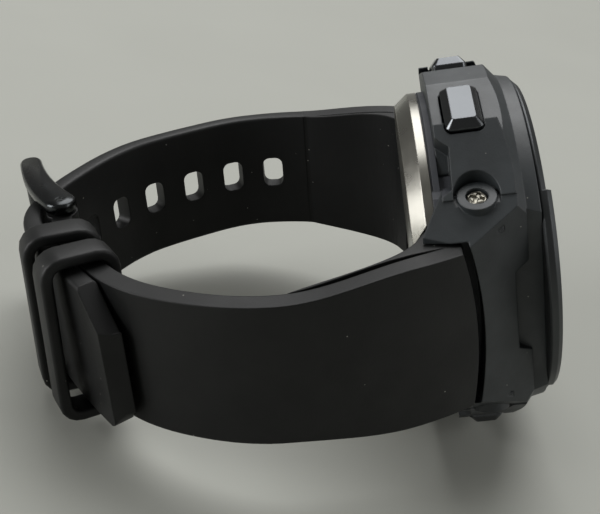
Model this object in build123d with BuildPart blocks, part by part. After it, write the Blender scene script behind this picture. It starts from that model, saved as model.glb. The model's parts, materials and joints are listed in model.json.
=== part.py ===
"""Digital sports watch with a moulded bezel, four push buttons and a buckled resin strap.

The watch lies on its 9 o'clock side, as it stands when the strap is buckled: the two lower
buttons and the strap's keepers touch the table, so the dial looks sideways and a little up.
The origin is the centre of the case back's flat face, +Z is up and +Y runs from 12 to 6 o'clock.
"""

from math import atan2, cos, degrees, radians, sin
import os

from build123d import *

# Heights of the case, measured from the case back's flat face toward the dial
back_slope_height = 1.9
back_plate_height = 3.1
seam = 0.25
bezel_bottom = 4.2
shoulder_height = 12.6
bezel_top = 16.1
ring_height = 17.2
case_thickness = 17.8
overrun = 40.0

# Radii of the case
case_radius = 22.4
back_rim_width = 1.5
back_flat_radius = case_radius - back_rim_width
core_step = 0.6
core_radius = case_radius - core_step
cavity_radius = 16.3
neck_radius = 19.0
bezel_top_step = 1.1
bezel_top_radius = case_radius + bezel_top_step
ring_step = 0.1
ring_radius = case_radius + ring_step
glass_radius = 17.0
window_radius = 15.6
fit = 0.1
running_fit = 0.05

# Lugs and the pins that carry the strap
lug_gap = 24.4
ear_height = 8.0
pin_height = 4.4
pin_hold = 1.0
pin_radius = 0.75
pin_tip_radius = 0.45
root_step = 4.0
root_flat = case_radius - root_step
root_gap = 0.2
root_side = root_flat + root_gap
pin_step = 1.9
pin_offset = root_flat + pin_step

# Push buttons: each sits at this angle from the 3 o'clock or the 9 o'clock direction
button_angle = 20.0
button_height = 8.15
button_proud = 4.3
button_face = case_radius + button_proud
button_chamfer = 1.0
button_edge = button_face - button_chamfer
button_seat_step = 1.3
button_seat = case_radius + button_seat_step
button_face_width = 3.05
button_face_length = 6.3
button_base_width = 4.8
button_base_length = 8.1
stem_radius = 1.0
stem_end = 15.3

# Front outline: flats at 3 o'clock, at the buttons and at the four corners, and the hoods' fronts
rim_step = 3.2
rim_flat = case_radius + rim_step
flank_drop = 0.6
flank_distance = rim_flat - flank_drop
facet_angle = 44.0
facet_drop = 0.4
facet_distance = flank_distance - facet_drop
hood_step = 0.9
hood_front = case_radius + hood_step

# Screws in the corner facets that hold the bezel on the lugs; they lie along the buttons
screw_angle = 18.0
boss_height = 8.4
boss_place = 2.1
boss_radius = 2.45
boss_groove = 0.45
boss_groove_depth = 0.5
boss_depth = 2.4
screw_head_radius = 1.2
screw_head_depth = 0.7
screw_radius = 0.7
screw_length = 5.0
screw_sink = 0.25

# Strap, measured from the level of the lug pins, where the flexed resin turns out of the case's line
strap_lift = 4.8
strap_level = 5.6
strap_reach = 59.4
strap_half_span = 31.0
start_rise = 12.4
strap_thickness = 2.7
strap_width = 20.0
strap_root_width = 23.4
hole_pitch = 7.5
hole_count = 9
hole_length = 3.4
hole_width = 5.2

# Buckle and keepers
buckle_length = 16.9
buckle_width = 24.0
buckle_arm = 1.7
buckle_bar_radius = 1.5
keeper_depth = 10.5
keeper_height = 24.6
keeper_width = 4.3
keeper_wall = 1.6

os.makedirs("parts", exist_ok=True)


def direction(angle):
    """Unit vector in the strap's own plane, at an angle from the dial's direction."""
    return Vector(cos(radians(angle)), sin(radians(angle)))


# The strap's centre lines. Near the case they are set out from its flat, as shares of the reach and of
# the rise; farther on they are shares of the reach and of the half span.
hole_start_shares = [(0.044, 0.1925), (-0.059, 0.5), (-0.158, 0.67)]
hole_shares = [
    (-0.285, 0.948),
    (-0.438, 0.987),
    (-0.582, 0.948),
    (-0.677, 0.861),
    (-0.765, 0.761),
    (-0.832, 0.665),
    (-0.897, 0.51),
    (-0.945, 0.335),
    (-0.982, 0.160),
    (-1.0, 0.0),
    (-0.998, -0.148),
    (-0.971, -0.297),
    (-0.934, -0.420),
    (-0.855, -0.645),
    (-0.781, -0.832),
    (-0.734, -0.939),
]
buckle_start_shares = [(0.044, 0.1925), (-0.059, 0.5), (-0.158, 0.71)]
buckle_shares = [
    (-0.279, 0.961),
    (-0.42, 1.0),
    (-0.572, 0.947),
    (-0.702, 0.827),
    (-0.746, 0.757),
    (-0.815, 0.597),
    (-0.869, 0.442),
    (-0.907, 0.284),
    (-0.929, 0.129),
]
keeper_shares = {"tip_keeper": (-0.834, -0.645), "pin_keeper": (-0.895, -0.44)}
keeper_angles = {"tip_keeper": 211.0, "pin_keeper": 204.0}


def route_points(near_shares, far_shares):
    """Points of a centre line: first those set out from the case, then those along the wrist."""
    near = [(x * strap_reach, root_side + rise * start_rise) for x, rise in near_shares]
    return near + [(x * strap_reach, y * strap_half_span) for x, y in far_shares]


hole_start = route_points(hole_start_shares, [])
hole_points = route_points(hole_start_shares, hole_shares)
buckle_points = [(x, -y) for x, y in route_points(buckle_start_shares, buckle_shares)]
buckle_pin_place = buckle_points[-1]
keeper_places = {
    name: (route_points([], [keeper_shares[name]])[0], keeper_angles[name]) for name in keeper_shares
}

# The watch leans until the lower buttons and the keeper next to the buckle stand on one level
lift = radians(strap_lift)
button_low_x = button_height - button_face_width / 2
button_low_z = -button_face * cos(radians(button_angle)) - button_face_length / 2 * sin(radians(button_angle))
keeper_place, keeper_angle = keeper_places["pin_keeper"]
keeper_out = direction(keeper_angle)
keeper_low_x = keeper_place[0] + keeper_out.X * keeper_depth / 2 - abs(keeper_out.Y) * keeper_width / 2
keeper_low_z = -keeper_height / 2
contact_run = strap_level + keeper_low_x * cos(lift) + keeper_low_z * sin(lift) - button_low_x
contact_rise = -keeper_low_x * sin(lift) + keeper_low_z * cos(lift) - button_low_z
lean = atan2(contact_rise, -contact_run)

watch = Plane(origin=(0, 0, 0), x_dir=(cos(lean), 0, sin(lean)), z_dir=(-sin(lean), 0, cos(lean)))
dial = Plane(origin=(0, 0, 0), x_dir=watch.z_dir, z_dir=watch.x_dir)
section = Plane(origin=(0, 0, 0), x_dir=dial.x_dir, z_dir=-dial.y_dir)
dial_axis = Axis((0, 0, 0), dial.z_dir)
strap = Plane(
    origin=watch.from_local_coords((strap_level, 0, 0)),
    x_dir=(cos(lean - lift), 0, sin(lean - lift)),
    z_dir=(-sin(lean - lift), 0, cos(lean - lift)),
)
strap_front = Plane(origin=strap.origin, x_dir=strap.x_dir, z_dir=-strap.y_dir)
button_angles = {
    "2": button_angle,
    "4": -button_angle,
    "8": 180 + button_angle,
    "10": 180 - button_angle,
}
print("lean of the case", round(degrees(lean), 2))


def spoke(angle):
    """Direction out from the dial's centre, at an angle from 3 o'clock toward 12 o'clock."""
    return dial.x_dir * cos(radians(angle)) + dial.y_dir * sin(radians(angle))


def radial_plane(angle, height, distance=0.0):
    """Plane that looks out from the dial's centre: local x toward the dial, local y along the rim."""
    out = spoke(angle)
    return Plane(origin=dial.z_dir * height + out * distance, x_dir=dial.z_dir, z_dir=out)


def section_at(angle):
    """Half section through the dial's axis at an angle from 3 o'clock: local x is the radius."""
    return Plane(origin=(0, 0, 0), x_dir=spoke(angle), z_dir=-spoke(angle + 90))


def front_plane(side, offset=0.0):
    """Plane that faces 12 o'clock (side 1) or 6 o'clock (side -1): local y is the height."""
    return Plane(
        origin=dial.from_local_coords((0, side * offset, 0)),
        x_dir=dial.x_dir * -side,
        z_dir=dial.y_dir * side,
    )


def corner_angle(side_3, side_12, angle):
    """An angle from 3 o'clock toward 12, carried over to another of the case's four corners."""
    return angle * side_12 if side_3 > 0 else 180 - angle * side_12


def boss_plane(side_3, side_12):
    """Plane of a screw boss on a corner facet, turned to look along its screw."""
    facet = radial_plane(corner_angle(side_3, side_12, facet_angle), boss_height, facet_distance)
    along = radial_plane(corner_angle(side_3, side_12, screw_angle), boss_height)
    return Plane(
        origin=facet.origin - facet.y_dir * (boss_place * side_3 * side_12),
        x_dir=along.x_dir,
        z_dir=along.z_dir,
    )


corners = [(side_3, side_12) for side_3 in (-1, 1) for side_12 in (-1, 1)]


# The case back: a turned steel plate with a sloped rim and a band
back_spigot_radius = 17.9
back_spigot_height = 0.5
back_recess_radius = 15.0
back_recess_depth = 0.8
disc_pocket_radius = 12.2
disc_pocket_depth = 0.5
back_screw_radius = 19.4
back_screw_head = 1.2
back_screw_thread = 0.7
back_screw_depth = 3.6
back_floor = back_plate_height - back_recess_depth

with BuildPart() as case_back:
    with BuildSketch(section):
        with BuildLine():
            Polyline(
                (0, 0),
                (back_flat_radius, 0),
                (case_radius, back_slope_height),
                (case_radius, back_plate_height),
                (back_spigot_radius, back_plate_height),
                (back_spigot_radius, back_plate_height + back_spigot_height),
                (cavity_radius, back_plate_height + back_spigot_height),
                (cavity_radius, back_plate_height),
                (back_recess_radius, back_plate_height),
                (back_recess_radius, back_floor),
                (0, back_floor),
                close=True,
            )
        make_face()
    revolve(axis=dial_axis)
    with BuildSketch(dial):
        Rectangle(overrun * 2, root_flat * 2)
    extrude(amount=overrun, mode=Mode.INTERSECT)
    with BuildSketch(dial.offset(back_floor - disc_pocket_depth)):
        Circle(disc_pocket_radius)
    extrude(amount=disc_pocket_depth, mode=Mode.SUBTRACT)
    with Locations(Plane(origin=(0, 0, 0), x_dir=dial.x_dir, z_dir=-dial.z_dir)):
        with PolarLocations(back_screw_radius, 4, start_angle=45):
            CounterSinkHole(back_screw_thread + fit, back_screw_head + fit, counter_sink_angle=90)

# The inner case: a thick ring with four lug ears and a neck for the glass
ledge_height = 13.6
glass_seat = 15.4
glass_thickness = 1.5
gasket_width = 0.6
gland_depth = 0.45
spring_bore_radius = 2.1
spring_floor = 18.6
seal_radius = 1.7
seal_thickness = 0.7
seal_place = 17.4
lug_cover = 0.8
ear_span = 32.0
ear_root = 3.9
ear_start = root_flat - ear_root
ear_end = pin_offset + pin_tip_radius * 2
neck_top = glass_seat + glass_thickness

with BuildPart() as case_body:
    with BuildSketch(section):
        with BuildLine():
            Polyline(
                (back_spigot_radius + fit, back_plate_height),
                (case_radius - seam, back_plate_height),
                (case_radius - seam, back_plate_height + seam),
                (case_radius, back_plate_height + seam),
                (case_radius, bezel_bottom),
                (core_radius, bezel_bottom),
                (core_radius, shoulder_height),
                (neck_radius, shoulder_height),
                (neck_radius, neck_top),
                (glass_radius + gasket_width, neck_top),
                (glass_radius + gasket_width, glass_seat),
                (window_radius, glass_seat),
                (window_radius, ledge_height),
                (cavity_radius, ledge_height),
                (cavity_radius, back_plate_height + back_spigot_height + gland_depth),
                (back_spigot_radius + fit, back_plate_height + back_spigot_height + gland_depth),
                close=True,
            )
        make_face()
    revolve(axis=dial_axis)
    with BuildSketch(dial):
        Rectangle(overrun * 2, root_flat * 2)
    extrude(amount=overrun, mode=Mode.INTERSECT)
    with BuildSketch(dial.offset(back_plate_height)):
        Rectangle(ear_span, ear_end * 2)
        Rectangle(lug_gap, overrun * 2, mode=Mode.SUBTRACT)
        Rectangle(overrun * 2, ear_start * 2, mode=Mode.SUBTRACT)
        for angle in (facet_angle, -facet_angle):
            Rectangle((facet_distance - lug_cover) * 2, overrun * 2, rotation=angle, mode=Mode.INTERSECT)
    extrude(amount=ear_height)
    with BuildSketch(dial):
        Circle(cavity_radius)
    extrude(amount=ledge_height, mode=Mode.SUBTRACT)
    with BuildSketch(dial):
        Circle(case_radius + fit)
        with GridLocations(0, root_flat * 2, 1, 2):
            Rectangle(lug_gap, fit * 2)
    extrude(amount=back_plate_height, mode=Mode.SUBTRACT)
    for angle in button_angles.values():
        with BuildSketch(radial_plane(angle, button_height)):
            Circle(stem_radius + running_fit)
        extrude(amount=overrun, mode=Mode.SUBTRACT)
        with BuildSketch(radial_plane(angle, button_height, spring_floor)):
            Circle(spring_bore_radius)
        extrude(amount=overrun, mode=Mode.SUBTRACT)
        with BuildSketch(radial_plane(angle, button_height, seal_place - seal_thickness / 2)):
            Circle(seal_radius)
        extrude(amount=seal_thickness, mode=Mode.SUBTRACT)
    for side in (-1, 1):
        pin_start = Plane(
            origin=dial.from_local_coords((-overrun, side * pin_offset, pin_height)),
            x_dir=dial.z_dir,
            z_dir=dial.x_dir,
        )
        with BuildSketch(pin_start):
            Circle(pin_tip_radius + running_fit)
        extrude(amount=overrun * 2, mode=Mode.SUBTRACT)
    with BuildSketch(dial):
        with PolarLocations(back_screw_radius, 4, start_angle=45):
            Circle(back_screw_thread)
    extrude(amount=back_screw_depth + back_plate_height, mode=Mode.SUBTRACT)
    for side_3, side_12 in corners:
        boss = boss_plane(side_3, side_12)
        with BuildSketch(boss.offset(-boss_depth - fit)):
            Circle(boss_radius + fit)
        extrude(amount=overrun, mode=Mode.SUBTRACT)
        with BuildSketch(boss):
            Circle(screw_radius)
        extrude(amount=-screw_length - screw_sink - fit, mode=Mode.SUBTRACT)


# The bezel: a moulded resin shell with flat flanks, lug covers and a hood over each strap end
corner_round = 0.8
cone_step = 4.1
cone_low_radius = case_radius + cone_step
cone_low_height = 11.8
cone_top_height = 14.3
hood_low_height = 6.7
hood_top_height = 14.2
hood_slope = 3.9
hood_top_front = hood_front - hood_slope
pocket_wall = 0.6
hood_pocket = root_flat + pocket_wall
notch_half_width = 5.8
notch_flare = 1.0
notch_height = 12.4
groove_side_height = 6.6
groove_middle_height = 7.9
groove_gap = 1.0
lug_bottom = 1.2
lug_heel = root_flat - pocket_wall
lug_tip_slant = 1.4
lug_tip = hood_front - lug_tip_slant
panel_step = 0.2
panel_start = -8.0
panel_end = 2.4
side_notch = [(0.0, -6.2), (0.1, -6.1), (1.6, -4.7), (1.3, 1.0), (0.0, 1.9)]
recess_gap = 0.2


with BuildPart() as bezel:
    with BuildSketch(dial.offset(lug_bottom)):
        Rectangle(rim_flat * 2, hood_front * 2)
        for angle in (button_angle, -button_angle):
            Rectangle(flank_distance * 2, overrun * 2, rotation=angle, mode=Mode.INTERSECT)
        for angle in (facet_angle, -facet_angle):
            Rectangle(facet_distance * 2, overrun * 2, rotation=angle, mode=Mode.INTERSECT)
        fillet(vertices(), corner_round)
    extrude(amount=bezel_top - lug_bottom)
    # A panel on each corner facet stands a little proud between the button and the screw boss
    for side_3, side_12 in corners:
        toward_strap = -side_3 * side_12
        facet = radial_plane(corner_angle(side_3, side_12, facet_angle), bezel_bottom, facet_distance)
        panel_height = bezel_top - bezel_bottom
        panel_middle = toward_strap * (panel_start + panel_end) / 2
        with BuildSketch(facet):
            with Locations((panel_height / 2, panel_middle)):
                Rectangle(panel_height, panel_end - panel_start)
        extrude(amount=panel_step)
    with BuildSketch(section):
        with BuildLine():
            Polyline(
                (0, 0),
                (overrun, 0),
                (overrun, cone_low_height),
                (cone_low_radius, cone_low_height),
                (bezel_top_radius, cone_top_height),
                (bezel_top_radius - corner_round / 2, bezel_top),
                (0, bezel_top),
                close=True,
            )
        make_face()
    revolve(axis=dial_axis, mode=Mode.INTERSECT)
    for side in (-1, 1):
        side_plane = Plane(origin=(0, 0, 0), x_dir=dial.y_dir * side, z_dir=dial.x_dir * side)
        # The lug covers reach down beside the strap, and end at a slant in front
        with BuildSketch(side_plane):
            with BuildLine():
                Polyline(
                    (0, 0),
                    (0, bezel_bottom),
                    (lug_heel, bezel_bottom),
                    (lug_tip, lug_bottom),
                    (hood_front, hood_low_height),
                    (overrun, hood_low_height),
                    (overrun, 0),
                    close=True,
                )
            make_face()
        extrude(amount=overrun, both=True, mode=Mode.SUBTRACT)
        # Room for the strap end, closed in front by an arched edge
        with BuildSketch(front_plane(side, root_flat)):
            with BuildLine():
                Polyline(
                    (lug_gap / 2, groove_side_height),
                    (lug_gap / 2, 0),
                    (-lug_gap / 2, 0),
                    (-lug_gap / 2, groove_side_height),
                )
                ThreePointArc(
                    (-lug_gap / 2, groove_side_height),
                    (0, groove_middle_height),
                    (lug_gap / 2, groove_side_height),
                )
            make_face()
        extrude(amount=overrun, mode=Mode.SUBTRACT)
        # The hood's sloped front, its pocket under the front ring and the notch in its edge
        with BuildSketch(side_plane):
            with BuildLine():
                Polyline(
                    (hood_front, hood_low_height),
                    (hood_top_front, hood_top_height),
                    (hood_pocket, hood_top_height),
                    (hood_pocket, overrun),
                    (overrun, overrun),
                    (overrun, hood_low_height),
                    close=True,
                )
            make_face()
        extrude(amount=overrun, both=True, mode=Mode.SUBTRACT)
        with BuildSketch(front_plane(side, hood_pocket)):
            with BuildLine():
                Polyline(
                    (-notch_half_width, notch_height),
                    (notch_half_width, notch_height),
                    (notch_half_width + notch_flare, hood_top_height),
                    (-notch_half_width - notch_flare, hood_top_height),
                    close=True,
                )
            make_face()
        extrude(amount=overrun, mode=Mode.SUBTRACT)
    # The inside follows the case and its lug ears
    with BuildSketch(dial):
        Circle(core_radius + fit)
        Rectangle(overrun * 2, (root_flat + fit) * 2, mode=Mode.INTERSECT)
    extrude(amount=shoulder_height + fit, mode=Mode.SUBTRACT)
    with BuildSketch(dial):
        Circle(neck_radius + fit)
        Rectangle(overrun * 2, (root_flat + fit) * 2, mode=Mode.INTERSECT)
    extrude(amount=overrun, mode=Mode.SUBTRACT)
    with BuildSketch(dial):
        Rectangle(ear_span + fit * 2, (ear_end + fit) * 2)
        Rectangle(lug_gap - fit, overrun * 2, mode=Mode.SUBTRACT)
        for angle in (facet_angle, -facet_angle):
            Rectangle((facet_distance - lug_cover + fit) * 2, overrun * 2, rotation=angle, mode=Mode.INTERSECT)
    extrude(amount=back_plate_height + ear_height + fit, mode=Mode.SUBTRACT)
    with BuildSketch(dial):
        Circle(case_radius + fit)
    extrude(amount=bezel_bottom, mode=Mode.SUBTRACT)
    for angle in button_angles.values():
        with BuildSketch(radial_plane(angle, button_height)):
            RectangleRounded(
                button_base_width + recess_gap * 2,
                button_base_length + recess_gap * 2,
                corner_round + recess_gap,
            )
        extrude(amount=overrun, mode=Mode.SUBTRACT)
    for side_3, side_12 in corners:
        toward_strap = -side_3 * side_12
        facet = radial_plane(corner_angle(side_3, side_12, facet_angle), bezel_bottom, facet_distance + panel_step)
        with BuildSketch(facet):
            with BuildLine():
                Polyline(*[(height, toward_strap * place) for height, place in side_notch], close=True)
            make_face()
        extrude(amount=core_radius - facet_distance - panel_step, mode=Mode.SUBTRACT)
        boss = boss_plane(side_3, side_12)
        with BuildSketch(boss.offset(-boss_groove_depth)):
            Circle(boss_radius + boss_groove)
        extrude(amount=overrun, mode=Mode.SUBTRACT)
        with BuildSketch(boss):
            Circle(boss_radius)
        extrude(amount=-boss_depth)
        with BuildSketch(boss.offset(-screw_head_depth - screw_sink)):
            Circle(screw_head_radius + fit * 2)
        extrude(amount=overrun, mode=Mode.SUBTRACT)
        with BuildSketch(boss):
            Circle(screw_radius + fit)
        extrude(amount=-screw_length, mode=Mode.SUBTRACT)

with BuildPart() as bezel_screws:
    for side_3 in (-1, 1):
        for side_12 in (-1, 1):
            boss = boss_plane(side_3, side_12).offset(-screw_sink)
            with BuildSketch(boss):
                Circle(screw_head_radius)
            extrude(amount=-screw_head_depth)
            with BuildSketch(boss):
                Circle(screw_radius)
            extrude(amount=-screw_length)

with BuildPart() as back_screws:
    with Locations(dial):
        with PolarLocations(back_screw_radius, 4, start_angle=45):
            Cone(
                back_screw_head,
                back_screw_thread,
                back_screw_head - back_screw_thread,
                align=(Align.CENTER, Align.CENTER, Align.MIN),
            )
            Cylinder(
                back_screw_thread,
                back_plate_height + back_screw_depth - fit,
                align=(Align.CENTER, Align.CENTER, Align.MIN),
            )

with BuildPart() as back_gasket:
    with BuildSketch(dial.offset(back_plate_height + back_spigot_height)):
        Circle(back_spigot_radius - fit)
        Circle(cavity_radius + fit, mode=Mode.SUBTRACT)
    extrude(amount=gland_depth)

# The front ring around the glass, with raised panels at 12 and 6 o'clock
ring_seat = bezel_top
ring_inner = 17.3
ring_chamfer = 0.6
ring_panel_angle = 84.0
ring_cover = 0.1
ring_bevel = 1.2

with BuildPart() as front_ring:
    with BuildSketch(section):
        with BuildLine():
            Polyline(
                (neck_radius + fit, ring_seat),
                (ring_radius - ring_chamfer / 2, ring_seat),
                (ring_radius, ring_seat + ring_chamfer / 2),
                (ring_radius, case_thickness - ring_chamfer),
                (ring_radius - ring_chamfer, case_thickness),
                (ring_inner + ring_bevel, case_thickness),
                (ring_inner, neck_top + ring_cover),
                (neck_radius + fit, neck_top + ring_cover),
                close=True,
            )
        make_face()
    revolve(axis=dial_axis)
    # The ring is lower between the two panels
    for start in (ring_panel_angle / 2 - 90, ring_panel_angle / 2 + 90):
        with BuildSketch(section_at(start)):
            with BuildLine():
                Polyline(
                    (0, ring_height),
                    (ring_radius - ring_chamfer, ring_height),
                    (ring_radius, ring_height - ring_chamfer),
                    (overrun, ring_height - ring_chamfer),
                    (overrun, overrun),
                    (0, overrun),
                    close=True,
                )
            make_face()
        revolve(axis=dial_axis, revolution_arc=180 - ring_panel_angle, mode=Mode.SUBTRACT)

with BuildPart() as glass:
    with BuildSketch(dial.offset(glass_seat)):
        Circle(glass_radius)
    extrude(amount=glass_thickness)
    chamfer(edges().sort_by(dial_axis)[-1], fit)

with BuildPart() as glass_gasket:
    with BuildSketch(dial.offset(glass_seat)):
        Circle(glass_radius + gasket_width)
        Circle(glass_radius, mode=Mode.SUBTRACT)
    extrude(amount=glass_thickness)

# The module: display, board, frame and cell, stacked between the ledge and the back
module_clearance = 0.3
frame_bottom = 6.9
frame_top = 13.5
board_thickness = 0.8
display_length = 22.0
display_width = 19.0
display_thickness = 1.4
backlight_thickness = 0.5
strip_width = 1.6
strip_length = 18.0
view_length = 20.0
view_width = 13.0
cell_radius = 10.0
cell_thickness = 3.2
cell_shift = -4.0
clip_thickness = 0.3
clip_width = 5.0
chip_size = 5.0
chip_thickness = 1.0
chip_place = (-5.0, 10.0)
crystal_radius = 1.0
crystal_length = 6.0
crystal_place = (3.6, 9.4)
disc_thickness = 0.35
feed_spring_radius = 1.0
feed_spring_wire = 0.15
feed_spring_turns = 4
feed_spring_place = (0.0, 10.4)
button_notch = 4.6
button_notch_depth = 3.0

display_floor = frame_top - display_thickness
board_bottom = frame_bottom - board_thickness
strip_offset = (display_width - strip_width) / 2 - module_clearance

with BuildPart() as module_frame:
    with BuildSketch(dial.offset(frame_bottom)):
        Circle(cavity_radius - module_clearance)
        for angle in button_angles.values():
            with Locations((cavity_radius * cos(radians(angle)), cavity_radius * sin(radians(angle)))):
                Rectangle(button_notch_depth * 2, button_notch, rotation=angle, mode=Mode.SUBTRACT)
    extrude(amount=frame_top - frame_bottom)
    with BuildSketch(dial.offset(display_floor)):
        Rectangle(display_length + fit, display_width + fit)
    extrude(amount=display_thickness, mode=Mode.SUBTRACT)
    with BuildSketch(dial.offset(display_floor - backlight_thickness)):
        Rectangle(display_length - strip_width, strip_offset * 2 - strip_width - fit)
    extrude(amount=backlight_thickness, mode=Mode.SUBTRACT)
    with BuildSketch(dial):
        with GridLocations(0, strip_offset * 2, 1, 2):
            Rectangle(strip_length + fit, strip_width + fit)
    extrude(amount=display_floor, mode=Mode.SUBTRACT)

with BuildPart() as lcd_panel:
    with BuildSketch(dial.offset(display_floor)):
        Rectangle(display_length, display_width)
    extrude(amount=display_thickness)

with BuildPart() as backlight_panel:
    with BuildSketch(dial.offset(display_floor - backlight_thickness)):
        Rectangle(display_length - strip_width - fit, strip_offset * 2 - strip_width - fit * 2)
    extrude(amount=backlight_thickness)

with BuildPart() as zebra_connectors:
    with BuildSketch(dial.offset(frame_bottom)):
        with GridLocations(0, strip_offset * 2, 1, 2):
            Rectangle(strip_length, strip_width)
    extrude(amount=display_floor - frame_bottom)

with BuildPart() as dial_surround:
    with BuildSketch(dial.offset(frame_top)):
        Circle(window_radius - fit)
        RectangleRounded(view_length, view_width, corner_round, mode=Mode.SUBTRACT)
    extrude(amount=glass_seat - frame_top)
    chamfer(faces().sort_by(dial_axis)[-1].inner_wires()[0].edges(), corner_round / 2)

with BuildPart() as circuit_board:
    with BuildSketch(dial.offset(board_bottom)):
        Circle(cavity_radius - module_clearance)
        for angle in button_angles.values():
            with Locations((cavity_radius * cos(radians(angle)), cavity_radius * sin(radians(angle)))):
                Rectangle(button_notch_depth * 2, button_notch, rotation=angle, mode=Mode.SUBTRACT)
    extrude(amount=board_thickness)

with BuildPart() as controller_chip:
    with BuildSketch(dial.offset(board_bottom - chip_thickness)):
        with Locations(chip_place):
            Rectangle(chip_size, chip_size)
    extrude(amount=chip_thickness)

with BuildPart() as quartz_crystal:
    crystal_plane = Plane(
        origin=dial.from_local_coords((*crystal_place, board_bottom - crystal_radius)),
        x_dir=dial.z_dir,
        z_dir=dial.x_dir,
    )
    with BuildSketch(crystal_plane):
        Circle(crystal_radius)
    extrude(amount=crystal_length)

with BuildPart() as battery:
    with BuildSketch(dial.offset(board_bottom - cell_thickness)):
        with Locations((0, cell_shift)):
            Circle(cell_radius)
    extrude(amount=cell_thickness)
    chamfer(edges().group_by(dial_axis)[0], clip_thickness / 2)

with BuildPart() as battery_clip:
    clip_reach = cell_radius + module_clearance
    with BuildSketch(front_plane(-1, -cell_shift - clip_width / 2)):
        with BuildLine():
            outline = Polyline(
                (-clip_reach - clip_thickness, board_bottom),
                (-clip_reach - clip_thickness, board_bottom - cell_thickness - clip_thickness),
                (clip_reach + clip_thickness, board_bottom - cell_thickness - clip_thickness),
                (clip_reach + clip_thickness, board_bottom),
                (clip_reach, board_bottom),
                (clip_reach, board_bottom - cell_thickness),
                (-clip_reach, board_bottom - cell_thickness),
                (-clip_reach, board_bottom),
                close=True,
            )
        make_face()
    extrude(amount=clip_width)

with BuildPart() as buzzer_disc:
    with BuildSketch(dial.offset(back_floor - disc_pocket_depth)):
        Circle(disc_pocket_radius - fit)
    extrude(amount=disc_thickness)


def coil(radius, wire, length, turns):
    """Coil spring along local Z from 0 to length, with a square-cut wire that starts at +X."""
    rise = length - wire * 2
    with BuildPart() as spring:
        with BuildLine():
            helix = Helix(pitch=rise / turns, height=rise, radius=radius, center=(0, 0, wire))
        with BuildSketch(Plane(origin=helix @ 0, z_dir=helix % 0)):
            RegularPolygon(wire, 6)
        sweep(path=helix, is_frenet=True)
    return spring.part


feed_spring_start = back_floor - disc_pocket_depth + disc_thickness
feed_spring_plane = Plane(
    origin=dial.from_local_coords((*feed_spring_place, feed_spring_start)),
    x_dir=dial.x_dir,
    z_dir=dial.z_dir,
)
with BuildPart() as buzzer_spring:
    with Locations(feed_spring_plane):
        add(coil(feed_spring_radius, feed_spring_wire, board_bottom - feed_spring_start, feed_spring_turns))

# Push buttons with their stems, clips, seals and return springs
clip_gap = 0.1
clip_ring_radius = 1.9
clip_ring_thickness = 0.4
groove_radius = 0.65
spring_wire = 0.22
spring_coil_radius = 1.55
spring_turns = 4
clip_place = cavity_radius * cos(clip_ring_radius / cavity_radius) - clip_gap - clip_ring_thickness
button_nodes = {}
clip_nodes = {}
spring_nodes = {}

for hour, angle in button_angles.items():
    with BuildPart() as button:
        with BuildSketch(radial_plane(angle, button_height, button_seat)):
            RectangleRounded(button_base_width, button_base_length, corner_round)
        extrude(amount=button_edge - button_seat)
        with BuildSketch(radial_plane(angle, button_height, button_edge)):
            RectangleRounded(button_base_width, button_base_length, corner_round)
        with BuildSketch(radial_plane(angle, button_height, button_face)):
            RectangleRounded(button_face_width, button_face_length, corner_round / 2)
        loft()
        with BuildSketch(radial_plane(angle, button_height, stem_end)):
            Circle(stem_radius)
        extrude(amount=button_seat - stem_end)
        with BuildSketch(radial_plane(angle, button_height, clip_place)):
            Circle(stem_radius)
            Circle(groove_radius, mode=Mode.SUBTRACT)
        extrude(amount=clip_ring_thickness, mode=Mode.SUBTRACT)
    button_nodes[f"button_{hour}"] = button
    with BuildPart() as clip:
        with BuildSketch(radial_plane(angle, button_height, clip_place)):
            Circle(clip_ring_radius)
            Circle(groove_radius, mode=Mode.SUBTRACT)
            with Locations((0, clip_ring_radius)):
                Rectangle(groove_radius * 2, clip_ring_radius * 2, mode=Mode.SUBTRACT)
        extrude(amount=clip_ring_thickness)
    clip_nodes[f"clip_{hour}"] = clip
    with BuildPart() as spring:
        with Locations(radial_plane(angle, button_height, spring_floor)):
            add(coil(spring_coil_radius, spring_wire, button_seat - spring_floor, spring_turns))
    spring_nodes[f"spring_{hour}"] = spring

with BuildPart() as button_seals:
    for angle in button_angles.values():
        with BuildSketch(radial_plane(angle, button_height, seal_place - seal_thickness / 2)):
            Circle(seal_radius)
            Circle(stem_radius + running_fit, mode=Mode.SUBTRACT)
        extrude(amount=seal_thickness)

# Lug pins: sprung bars with thin tips in the case's ears
pin_half = lug_gap / 2 - fit
pin_tip_half = lug_gap / 2 + pin_hold - fit

with BuildPart() as lug_pins:
    for side in (-1, 1):
        for half, radius in ((pin_half, pin_radius), (pin_tip_half, pin_tip_radius)):
            pin_middle = Plane(
                origin=dial.from_local_coords((0, side * pin_offset, pin_height)),
                x_dir=dial.z_dir,
                z_dir=dial.x_dir,
            )
            with BuildSketch(pin_middle):
                Circle(radius)
            extrude(amount=half, both=True)

# Strap halves: bands of resin whose thick roots fill the gap between the lugs
root_front = 3.9
root_heel_height = 5.05
root_blend_shares = (-0.37, 0.948)
root_inner_shares = [(-0.222, 0.605), (-0.157, 0.46), (-0.108, 0.225)]
widening_start = 23.0
widening_end = 6.0
first_hole = 28.6
tip_cut_length = 4.5
tip_cut_height = 5.5
pin_end_radius = 2.2
tongue_slot = 3.4
hole_round = 1.2


# Places of the buckle's bar and of the tongue's end
buckle_angle = 119.3
buckle_arm_radius = 3.0
buckle_arm_end = 2.0
tongue_width = 2.6
tongue_thickness = 1.2
tongue_eye = 1.7
tongue_room = 0.4

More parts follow.
